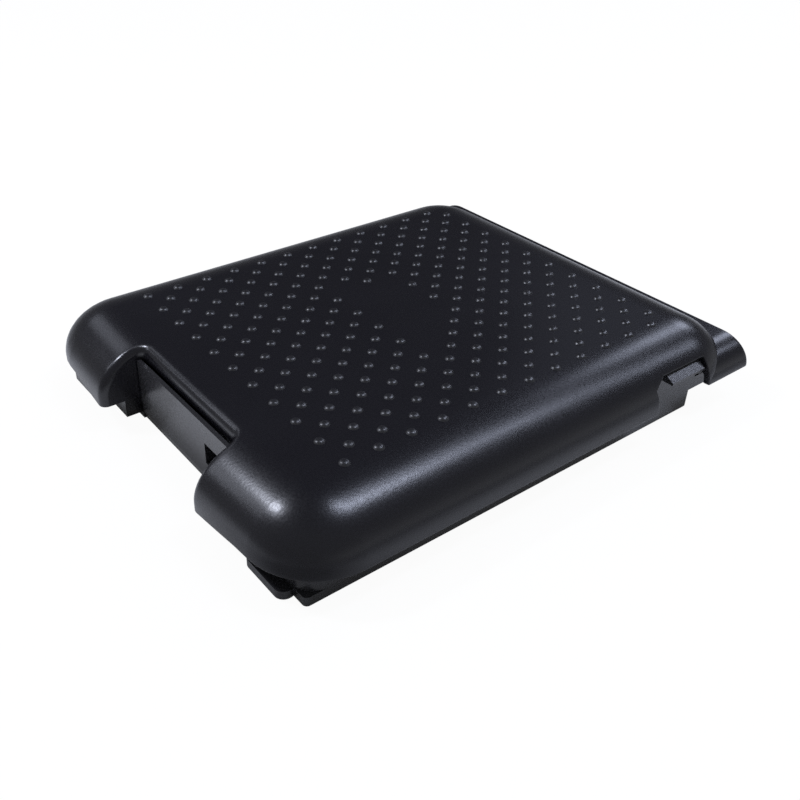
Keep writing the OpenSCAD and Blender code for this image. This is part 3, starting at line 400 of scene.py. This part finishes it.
def sweep_angle(z):
    """Angle along the shoulder at which it reaches a height."""
    return math.acos(1 - (TOP - z) / DROP)


def toe_angle(y, x):
    """Angle along the toe's shoulder above a place in plan."""
    out = math.hypot(x, BOW_Y - y) - CORE_R
    return math.asin(max(0.0, min(1.0, out / RUN)))


LIP_Y = NOTCH_Y + LIP_R
BAND_X = NOTCH_X + EDGE_R
ARC_AT = (NOTCH_X - LIP_CORNER_R, NOTCH_Y - LIP_CORNER_R)
ARC_X, ARC_Y = BAND_X - ARC_AT[0], LIP_Y - ARC_AT[1]

# Rows of places down the shoulder, as angles: above the lip, along the notch's round
# corner, down to the hinge window's edge, and on to the skirt
TOP_SHARES = [0.0, 0.35, 0.7]
ARC_STEPS, SHOULDER_STEPS, SKIRT_STEPS = 4, 6, 5
LIP_ROWS = [toe_angle(LIP_Y - ARC_Y * k / ARC_STEPS, BAND_X) for k in range(ARC_STEPS + 1)]
LOW_TURN, HIGH_TURN = sweep_angle(WINDOW_LOW), sweep_angle(WINDOW_TOP)
SHOULDER_TURN, SKIRT_TURN = LOW_TURN - LIP_ROWS[-1], QUARTER - LOW_TURN
ROWS = [LIP_ROWS[0] * share for share in TOP_SHARES] + LIP_ROWS
ROWS += [LIP_ROWS[-1] + SHOULDER_TURN * k / SHOULDER_STEPS for k in range(1, SHOULDER_STEPS + 1)]
ROWS += [LOW_TURN + SKIRT_TURN * k / SKIRT_STEPS for k in range(1, SKIRT_STEPS + 1)]
ARC_ROW = len(TOP_SHARES) + ARC_STEPS
BEND_ROW = ARC_ROW + SHOULDER_STEPS


def rows_at(turn, end):
    """The rows' angles where the window's edge row lies at turn and the last row at end."""
    low, high = ROWS[: BEND_ROW + 1], ROWS[BEND_ROW + 1 :]
    rows = [r * turn / LOW_TURN for r in low]
    return rows + [turn + (r - LOW_TURN) * (end - turn) / SKIRT_TURN for r in high]


def shoulder_z(angle):
    """Height of the shoulder at an angle along it."""
    return TOP - DROP * (1 - math.cos(angle))


def toe_place(x, angle):
    """Place on the toe's shoulder at x and an angle along the shoulder."""
    reach = CORE_R + RUN * math.sin(angle)
    return Vector((x, BOW_Y - math.sqrt(reach**2 - x**2), shoulder_z(angle)))


def toe_surface(x, y):
    """Place on the toe's shoulder above a place in plan."""
    return Vector((x, y, shoulder_z(toe_angle(y, x))))


def toe_normal(angle):
    """Outward direction of the toe's shoulder."""
    out, up = math.sin(angle) / RUN, math.cos(angle) / DROP
    length = math.hypot(out, up)
    return Vector((0, -out / length, up / length))


def lobe_foot(x):
    """Height of a toe lobe's lower edge at x."""
    return SKIRT - LOBE_DIP * min(1.0, max(0.0, (LOBE_DIP_X - x) / LOBE_DIP_RUN))


# Metres in a millimetre, millimetres under which corners are the same, metres to weld over
MM, SAME, WELD = 0.001, 1e-4, 4e-6


class Skin:
    """A mesh in the making: grids of places in millimetres, on one or both sides."""

    def __init__(self):
        self.bm = bmesh.new()

    def face(self, places, both=True):
        """One face without repeated corners, and its mirror on the other side."""
        for side in (1, -1) if both else (1,):
            corners = [Vector((side * p[0], p[1], p[2])) for p in places]
            kept = []
            for corner in corners:
                if all((corner - k).length > SAME for k in kept):
                    kept.append(corner)
            if len(kept) > 2:
                if side < 0:
                    kept.reverse()
                self.bm.faces.new([self.bm.verts.new(k * MM) for k in kept])

    def grid(self, lines, both=True, skip=None):
        """Faces between neighbouring lines of places. skip(i, j) leaves a face out."""
        for i, (one, two) in enumerate(zip(lines, lines[1:])):
            for j in range(len(one) - 1):
                if skip is None or not skip(i, j):
                    self.face([one[j], one[j + 1], two[j + 1], two[j]], both)

    def weld(self):
        """Joins corners that meet and turns every face outward."""
        bmesh.ops.remove_doubles(self.bm, verts=self.bm.verts, dist=WELD)
        bmesh.ops.recalc_face_normals(self.bm, faces=self.bm.faces)

    def piece(self, name, body, slot_name, finish=None):
        """The finished mesh as an object that rides on a body."""
        mesh = bpy.data.meshes.new(name)
        self.bm.to_mesh(mesh)
        self.bm.free()
        for polygon in mesh.polygons:
            polygon.use_smooth = True
        made = bpy.data.objects.new(name, mesh)
        bpy.context.scene.collection.objects.link(made)
        mesh.materials.append(finish_of(finish or slot_name))
        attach(made, body)
        return made


def side_columns():
    """Stations along a side: the y of each and its window row's angle."""
    middle = sweep_angle((WINDOW_LOW + WINDOW_TOP) / 2)
    plain = [TOE_CORE, TOE_CORE + 1, -50, -25, 0, 25, 44, WINDOW_Y0]
    columns = [(y, LOW_TURN) for y in plain]
    columns.append(((WINDOW_Y0 + WINDOW_SLOPE_Y) / 2, middle))
    return columns + [(y, HIGH_TURN) for y in (WINDOW_SLOPE_Y, 60, HEEL_CORE - 1, HEEL_CORE)]


def lip_columns():
    """The x of each column over the notch's lip, from the middle to the band's edge."""
    return [0, 7, 14, 20] + [ARC_AT[0] + ARC_X * k / ARC_STEPS for k in range(ARC_STEPS + 1)]


SIDE_COLUMNS = side_columns()
LOBE_STEPS = [0, 0.05, 0.25, 0.5, 0.75, (CORE_X - 1 - BAND_X) / (CORE_X - BAND_X), 1]
TOP_COLUMNS = lip_columns() + [BAND_X + s * (CORE_X - BAND_X) for s in LOBE_STEPS[1:]]
# The heel's shoulder stops short of upright, inside the apron
HEEL_END = math.radians(88)
HEEL_CORNER_TURNS = [0, 1.3] + [9 * k for k in range(1, 11)]
TOE_CORNER_STEPS = 10


def shoulder_line(core, turn, rows, foot):
    """Places down the shoulder from a core point, toward an angle in plan, to the foot."""
    x, y = core
    line = []
    for r in rows:
        reach = RUN * math.sin(r)
        line.append(Vector((x + math.cos(turn) * reach, y + math.sin(turn) * reach, shoulder_z(r))))
    return line + [Vector((line[-1].x, line[-1].y, foot))]


def shell_sides(skin):
    """Both long sides with their hinge windows, and the heel with its corners."""
    first = [y for y, _ in SIDE_COLUMNS].index(WINDOW_Y0)
    lines = [
        shoulder_line((CORE_X, y), 0, rows_at(turn, QUARTER), SKIRT) for y, turn in SIDE_COLUMNS
    ]
    skin.grid(lines, skip=lambda i, j: i >= first and j >= BEND_ROW)
    rows = rows_at(HIGH_TURN, HEEL_END)
    lines = [
        shoulder_line((CORE_X, HEEL_CORE), math.radians(a), rows, APRON) for a in HEEL_CORNER_TURNS
    ]
    skin.grid(lines, skip=lambda i, j: i == 0 and j >= BEND_ROW)
    skin.grid([shoulder_line((x, HEEL_CORE), QUARTER, rows, APRON) for x in TOP_COLUMNS])


def shell_toe(skin):
    """The toe's corners and lobes, and the strip behind the notch."""
    span = QUARTER - BOW_TURN
    turns = [span * (k / TOE_CORNER_STEPS - 1) for k in range(TOE_CORNER_STEPS + 1)]
    skin.grid([shoulder_line((CORE_X, TOE_CORE), a, ROWS, SKIRT) for a in turns])
    lines = []
    for step in LOBE_STEPS:
        line = []
        for angle in ROWS:
            edge = CORE_X + math.sin(BOW_TURN) * RUN * math.sin(angle)
            line.append(toe_place(BAND_X + step * (edge - BAND_X), angle))
        last = line[-1]
        foot = lobe_foot(last.x) if step < 1 else SKIRT
        lines.append(line + [Vector((last.x, last.y, foot))])
    skin.grid(lines)
    # Strip between the lip and the flat top
    edge_rows = [toe_place(BAND_X, angle).y for angle in ROWS[: len(TOP_SHARES) + 1]]
    shares = [(y - LIP_Y) / (edge_rows[0] - LIP_Y) for y in edge_rows]
    lines = []
    for x in lip_columns():
        core = toe_place(x, 0).y
        lines.append([toe_surface(x, LIP_Y + share * (core - LIP_Y)) for share in shares])
    skin.grid(lines)
    # Corner between the lip's round end and the square grid
    arc = [lip_arc(k) for k in range(2 * ARC_STEPS + 1)]
    square = [(BAND_X, ARC_AT[1] + ARC_Y * k / ARC_STEPS) for k in range(ARC_STEPS)]
    square += [(BAND_X - ARC_X * k / ARC_STEPS, LIP_Y) for k in range(ARC_STEPS + 1)]
    skin.grid([[toe_surface(*a), toe_surface(*s)] for a, s in zip(arc, square)])


def edge_radius(k):
    """Radius of the notch's round edge, growing from the lobe's to the lip's."""
    share = k / (2 * ARC_STEPS)
    return EDGE_R + (LIP_R - EDGE_R) * share * share * (3 - 2 * share)


def lip_arc(k):
    """Plan place along the round corner of the notch's edge."""
    a = QUARTER * k / (2 * ARC_STEPS)
    reach = LIP_CORNER_R + edge_radius(k)
    return ARC_AT[0] + reach * math.cos(a), ARC_AT[1] + reach * math.sin(a)


def rounded_over(place, normal, toward, radius=EDGE_R):
    """Places round an edge, from the surface over to the face that drops from it."""
    places = []
    for k in range(EDGE_STEPS + 1):
        t = QUARTER * k / EDGE_STEPS
        places.append(place + toward * radius * math.sin(t) - normal * radius * (1 - math.cos(t)))
    return places


def shell_notch(skin):
    """Round edges of the notch, its side walls and its lip."""
    inward, toeward = Vector((-1, 0, 0)), Vector((0, -1, 0))
    bands = [rounded_over(toe_place(BAND_X, a), toe_normal(a), inward) for a in ROWS[ARC_ROW:]]
    foot = lobe_foot(BAND_X)
    low = bands[-1][0].copy()
    low.z = foot
    bands.append(rounded_over(low, toeward, inward))
    skin.grid(bands)
    # Side wall, in front of the lip and beside it
    cap = [band[-1] for band in bands]
    front, back = cap[0].y, NOTCH_Y + WALL
    upper, lower = Vector((NOTCH_X, front, LIP_FOOT)), Vector((NOTCH_X, front, foot))
    skin.face(cap + [lower, upper])
    skin.face([upper, lower, Vector((NOTCH_X, back, foot)), Vector((NOTCH_X, back, LIP_FOOT))])
    bands = []
    for k in range(2 * ARC_STEPS + 1):
        x, y = lip_arc(k)
        toward = Vector((ARC_AT[0] - x, ARC_AT[1] - y, 0)).normalized()
        bands.append(lip_band(x, y, toward, edge_radius(k)))
    for x in reversed([x for x in lip_columns() if x < ARC_AT[0] - SAME]):
        bands.append(lip_band(x, LIP_Y, toeward, LIP_R))
    skin.grid(bands)


def lip_band(x, y, toward, radius):
    """Places round the lip's edge and down its wall."""
    band = rounded_over(toe_surface(x, y), toe_normal(toe_angle(y, x)), toward, radius)
    last = band[-1]
    return band + [Vector((last.x, last.y, LIP_FOOT))]


def shell_top(skin):
    """The flat top inside the shoulders."""
    stations = [y for y, _ in SIDE_COLUMNS[1:]]
    lines = []
    for x in TOP_COLUMNS:
        lines.append([Vector((x, y, TOP)) for y in [toe_place(x, 0).y] + stations])
    skin.grid(lines)


APRON_COLUMNS = (0, 20, 45, 60)
APRON_STEPS, APRON_BACK_STEPS = 12, 4


def apron_outline(inset):
    """Front outline of the heel apron from the middle of its top down one end."""
    drop, end = APRON_TOP - APRON, SIDE - APRON_RUN
    line = [Vector((x, 0, APRON_TOP - inset)) for x in (*APRON_COLUMNS, end)]
    for k in range(1, APRON_STEPS + 1):
        a = QUARTER * k / APRON_STEPS
        place = Vector((end + APRON_RUN * math.sin(a), 0, APRON_TOP - drop * (1 - math.cos(a))))
        out, up = math.sin(a) / APRON_RUN, math.cos(a) / drop
        length = math.hypot(out, up)
        line.append(place - inset * Vector((out / length, 0, up / length)))
    line[-1].z = APRON
    return line


def shell_apron(skin):
    """The squared apron behind the heel's shoulder, with a rounded back edge."""
    stages = [(APRON_Y, 0), (80, 0), (HEEL - APRON_BACK_R - 1, 0)]
    for k in range(APRON_BACK_STEPS + 1):
        a = QUARTER * k / APRON_BACK_STEPS
        stages.append((HEEL - APRON_BACK_R * (1 - math.sin(a)), APRON_BACK_R * (1 - math.cos(a))))
    stages.append((HEEL, APRON_BACK_R + 1))
    lines = [[Vector((p.x, y, p.z)) for p in apron_outline(inset)] for y, inset in stages]
    skin.grid(lines)
    last = lines[-1]
    for a, b in zip(last, last[1:]):
        skin.face([a, b, Vector((b.x, HEEL, APRON)), Vector((a.x, HEEL, APRON))])


SHELL_EDGE, SHARPER_THAN = 0.3, math.radians(50)


def treadle_shell():
    """The treadle's outer surface, given its wall inward, with softened edges."""
    skin = Skin()
    shell_top(skin)
    shell_sides(skin)
    shell_toe(skin)
    shell_notch(skin)
    shell_apron(skin)
    skin.weld()
    up = sum((f.normal.z * f.calc_area() for f in skin.bm.faces), 0.0)
    if up < 0:
        bmesh.ops.reverse_faces(skin.bm, faces=skin.bm.faces)
    shell = skin.piece("treadle_shell", "treadle", "treadle_plastic")
    solid = shell.modifiers.new("wall", "SOLIDIFY")
    solid.thickness, solid.offset = WALL * MM, -1
    edge = shell.modifiers.new("edge", "BEVEL")
    edge.width, edge.segments, edge.limit_method = SHELL_EDGE * MM, 2, "ANGLE"
    edge.angle_limit, edge.use_clamp_overlap = SHARPER_THAN, False
    shell.modifiers.new("shading", "WEIGHTED_NORMAL")
    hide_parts("treadle")


# ---------- under the treadle ----------

# Where things stand, in millimetres, as the solids have them
HINGE_Y, HINGE_Z = 66.0, 14.0
RETURN_X, RETURN_Y = 58.0, -60.0
STOP_X, STOP_Y = 42.0, -71.0
PLUNGER_Y = -45.0

# The top's underside, a little inside the shell, and the foot of the ribs
CEILING, RIB_FOOT = 25.4, 23.1
RIB_T, RIB_YS = 1.6, (-20.0, 20.0, 56.0)
# The hinge ear: its inner face, thickness, height over the pin, round foot and bore
EAR_X, EAR_T, EAR_RISE, EAR_R, BORE_R = 58.5, 4.0, 11.3, 4.5, 2.1
# Turned forms, as radii and heights
RING = [(0, 25.0), (7.6, 25.0), (7.6, 21.3), (6.4, 21.3), (6.4, 23.7), (0, 23.7)]
POST = [(0, CEILING), (4.0, CEILING), (4.0, 13.06), (0, 13.06)]
PAD = [(0, CEILING), (6.0, CEILING), (6.0, 22.8), (0, 22.8)]
# Blocks, as two corners
LONG_RIB = (34, -69.2, RIB_FOOT), (34 + RIB_T, 70, CEILING)
HOOK_HANGER = (36, -79.1, 9.3), (50, -77.3, 24.4)
HOOK_NOSE = (36, -81.2, 9.3), (50, -78.9, 11.1)
HEEL_WEB = (62, 73.5, 12.2), (71.5, 75.1, 19.0)
TURN_STEPS, EAR_STEPS = 32, 48
INNER_SHARP = math.radians(35)


def block(skin, low, high, both=True):
    """A box between two corners."""
    x, y, z = zip(low, high)
    around = ((0, 0), (1, 0), (1, 1), (0, 1))
    for i in (0, 1):
        skin.face([(x[i], y[j], z[k]) for j, k in around], both)
        skin.face([(x[j], y[i], z[k]) for j, k in around], both)
        skin.face([(x[j], y[k], z[i]) for j, k in around], both)


def turned(skin, x, y, outline, both=True):
    """A form turned about an upright axis, from a list of radii and heights."""
    lines = []
    for k in range(TURN_STEPS + 1):
        a = 2 * math.pi * k / TURN_STEPS
        lines.append([(x + r * math.cos(a), y + r * math.sin(a), z) for r, z in outline])
    skin.grid(lines, both)


def hinge_ear(skin):
    """A plate that hangs from the top, round below, with the pin's bore."""
    x0, x1 = EAR_X, EAR_X + EAR_T
    lines = []
    for k in range(EAR_STEPS + 1):
        a = 2 * math.pi * k / EAR_STEPS
        along, up = math.cos(a), math.sin(a)
        out = min(EAR_R / max(abs(along), 1e-6), EAR_RISE / up) if up > 0 else EAR_R
        edge = (HINGE_Y + out * along, HINGE_Z + out * up)
        bore = (HINGE_Y + BORE_R * along, HINGE_Z + BORE_R * up)
        lines.append([(x0, *bore), (x0, *edge), (x1, *edge), (x1, *bore), (x0, *bore)])
    skin.grid(lines)


def treadle_inner():
    """Ribs, ears, rings, posts, pad, hooks and webs under the treadle's top."""
    skin = Skin()
    for y in RIB_YS:
        block(skin, (-CORE_X, y, RIB_FOOT), (CORE_X, y + RIB_T, CEILING), both=False)
    block(skin, *LONG_RIB)
    hinge_ear(skin)
    turned(skin, RETURN_X, RETURN_Y, RING)
    turned(skin, STOP_X, STOP_Y, POST)
    turned(skin, 0, PLUNGER_Y, PAD, both=False)
    for corners in (HOOK_HANGER, HOOK_NOSE, HEEL_WEB):
        block(skin, *corners)
    skin.weld()
    inner = skin.piece("treadle_inner", "treadle", "treadle_plastic")
    inner.data.set_sharp_from_angle(angle=INNER_SHARP)


# ---------- grip dots ----------

DOT_STEP = 8.0 / math.sqrt(2)
DOT_COLUMNS, DOT_LANES = 24, 21
DOT_TOE = TOE + 31.5
# First and last lane of the bare field in the columns that cross it
BARE_LANES = {10: (6, 14), 11: (7, 13), 12: (8, 12), 13: (7, 11)}
# Radii and heights of a dot's rings, from just under the top to its crown
DOME = [
    (1.76, -0.12), (1.64, 0.02), (1.5, 0.22), (1.28, 0.45), (0.97, 0.63), (0.58, 0.75), (0.2, 0.79)
]
DOT_SIDES = 14


def dot(skin, x, y):
    """One dot, open below."""
    turns = [2 * math.pi * k / DOT_SIDES for k in range(DOT_SIDES)]
    rings = []
    for r, z in DOME:
        places = [Vector((x + r * math.cos(a), y + r * math.sin(a), TOP + z)) for a in turns]
        rings.append([skin.bm.verts.new(place * MM) for place in places])
    for low, high in zip(rings, rings[1:]):
        for k in range(DOT_SIDES):
            n = (k + 1) % DOT_SIDES
            skin.bm.faces.new([low[k], low[n], high[n], high[k]])
    skin.bm.faces.new(rings[-1])


def grip_dots():
    """Low round dots on a staggered lattice, with a bare field in the middle."""
    skin = Skin()
    for column in range(DOT_COLUMNS):
        for lane in range(DOT_LANES):
            first, last = BARE_LANES.get(column, (1, 0))
            if (column + lane) % 2 or first <= lane <= last:
                continue
            dot(skin, (lane - (DOT_LANES - 1) / 2) * DOT_STEP, DOT_TOE + column * DOT_STEP)
    skin.piece("grip_dots", "treadle", "treadle_plastic", "dot_plastic")


# ---------- springs ----------

COIL_STEPS, WIRE_SIDES = 24, 8
# Radius of the coil, radius of the wire, and turns
RETURN_COIL, PLUNGER_COIL = (5.0, 0.6, 6), (3.9, 0.3, 5)


def coil_spring(node, middle, sizes):
    """A round wire coil in the room of its solid."""
    radius, wire, turns = sizes
    low, high = (1000 * corner[2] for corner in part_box(node))
    rise = high - low - 2 * wire
    slope = rise / (2 * math.pi * radius * turns)
    sides = [2 * math.pi * n / WIRE_SIDES for n in range(WIRE_SIDES + 1)]
    rings = []
    for k in range(COIL_STEPS * turns + 1):
        a = 2 * math.pi * k / COIL_STEPS
        out = Vector((math.cos(a), math.sin(a), 0))
        up = Vector((slope * math.sin(a), -slope * math.cos(a), 1)).normalized()
        at = Vector((*middle, low + wire + rise * k / (COIL_STEPS * turns))) + radius * out
        rings.append([at + wire * (math.cos(b) * out + math.sin(b) * up) for b in sides])
    skin = Skin()
    skin.grid(rings, both=False)
    for end in (rings[0], rings[-1]):
        skin.face(end[:-1], both=False)
    skin.weld()
    coil = skin.piece(node + "_wire", "base", "spring_steel")
    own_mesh(coil)
    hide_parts(node)


def springs():
    """The two return springs and the plunger's spring."""
    for side, hand in ((-1, "left"), (1, "right")):
        middle = (side * RETURN_X, RETURN_Y)
        coil_spring("return_spring_" + hand, middle, RETURN_COIL)
    coil_spring("plunger_spring", (0, PLUNGER_Y), PLUNGER_COIL)


# ---------- floor ----------

FLOOR_REACH = 6.0
# The floor's white, and the painted shade that its reflections take
WHITE, SHADED = (0.86, 0.86, 0.86), (0.12, 0.12, 0.12)
# Places on the floor, in metres, about which painted shade is laid for reflections
NEAR_CORNER, PANEL_FOOT = (0.095, -0.118, 0.0), (0.0, -0.080, 0.0)
# Shares of plain light, for the camera and for reflections
SEEN_SHARE, SHINE_SHARE = 0.955, 0.06


def floor():
    """White floor that keeps the pedal's shadow.

    In reflections it has painted shade: darker away from the pedal, by the near toe corner
    and along the foot of the notch's panel.
    """
    mesh = bpy.data.meshes.new("studio_floor")
    r = FLOOR_REACH
    mesh.from_pydata([(-r, -r, 0), (r, -r, 0), (r, r, 0), (-r, r, 0)], [], [(0, 1, 2, 3)])
    ground = bpy.data.objects.new("studio_floor", mesh)
    bpy.context.scene.collection.objects.link(ground)
    coat = Coat("studio_white")
    seen = coat.add("ShaderNodeLightPath", {}, out="Is Camera Ray")
    shine = coat.add("ShaderNodeLightPath", {}, out="Is Glossy Ray")
    stretched = {"operation": "MULTIPLY"}
    # Painted shade for reflections: the floor darker the further it lies from the pedal
    wide = coat.add("ShaderNodeVectorMath", stretched, coat.spot(), (1.6, 1.0, 1.0))
    painted_far_shade = coat.fade(coat.measure("LENGTH", wide), (0.12, 0.26), (0.0, 0.86))
    # Painted shadow for reflections, round a spot on the floor by the near toe corner
    from_corner = coat.measure("DISTANCE", coat.spot(), NEAR_CORNER)
    corner = coat.fade(from_corner, (0.03, 0.08), (1.0, 0.0))
    # Painted shade for reflections, in a narrow strip along the foot of the notch's panel
    narrow = coat.add("ShaderNodeVectorMath", stretched, coat.spot(), (0.1, 1.0, 1.0))
    from_panel = coat.measure("DISTANCE", narrow, PANEL_FOOT)
    painted_panel_foot_shade = coat.fade(from_panel, (0.0045, 0.0075), (0.8, 0.0))
    # The painted shades together, tinting the floor's colour in reflections only
    dark = painted_far_shade.or_more(corner).or_more(painted_panel_foot_shade)
    coat.finish(coat.tint(shine * dark, WHITE, SHADED), 0.9)
    lit = coat.add("ShaderNodeEmission", {}, (1.0, 1.0, 1.0), 1.0)
    mixed = coat.tree.nodes.new("ShaderNodeMixShader")
    coat.feed(SEEN_SHARE * seen + SHINE_SHARE * shine, mixed.inputs[0])
    coat.tree.links.new(coat.surface.outputs[0], mixed.inputs[1])
    coat.feed(lit, mixed.inputs[2])
    coat.tree.links.new(mixed.outputs[0], coat.tree.nodes["Material Output"].inputs[0])
    mesh.materials.append(coat.material)


# ---------- dressing ----------

SOLID_SHARP = math.radians(32)


def dress_solids():
    """Gives each solid the finish of its slot."""
    for row in frame["record"]["subparts"]:
        piece = frame["nodes"][row["node"]]
        piece.data.materials.clear()
        piece.data.materials.append(finish_of(row["material_slot"]))
        for polygon in piece.data.polygons:
            polygon.use_smooth = True
        piece.data.set_sharp_from_angle(angle=SOLID_SHARP)


place_camera()
studio()
floor()
dress_solids()
treadle_shell()
treadle_inner()
grip_dots()
springs()

bpy.context.scene.view_settings.view_transform = "Standard"
